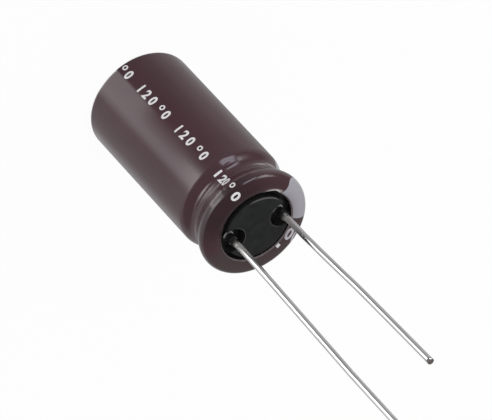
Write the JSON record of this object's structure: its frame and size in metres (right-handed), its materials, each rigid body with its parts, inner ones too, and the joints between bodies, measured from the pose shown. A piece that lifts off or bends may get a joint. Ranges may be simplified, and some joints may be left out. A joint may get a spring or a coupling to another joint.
{
  "type": "electrolytic capacitor",
  "caption": "Radial-lead electrolytic capacitor in a beaded, sleeved round can, with a rubber bung and two unequal wire leads.",
  "frame": {"origin": "centre of the base, on the plane that the head of the can stands on", "axes": "+Z along the can's axis from the head towards the leads, +X from the negative lead towards the positive lead"},
  "size_m": [0.0106, 0.0106, 0.0482],
  "materials": {
    "sleeve": "glossy shrunk film, dark plum brown with a pale grey stripe",
    "can": "drawn, satin",
    "bung": "satin black",
    "lead_wire": "bright tin over copper-clad steel",
    "tab": "bright",
    "winding": "wet paper and foil",
    "tape": "matt film"
  },
  "bodies": {
    "root": {"sleeve": "sleeve", "can": "can", "bung": "bung", "anode_lead": "lead_wire", "cathode_lead": "lead_wire", "anode_tab": "tab", "cathode_tab": "tab", "winding": "winding", "winding_tape": "tape"}
  },
  "joints": []
}
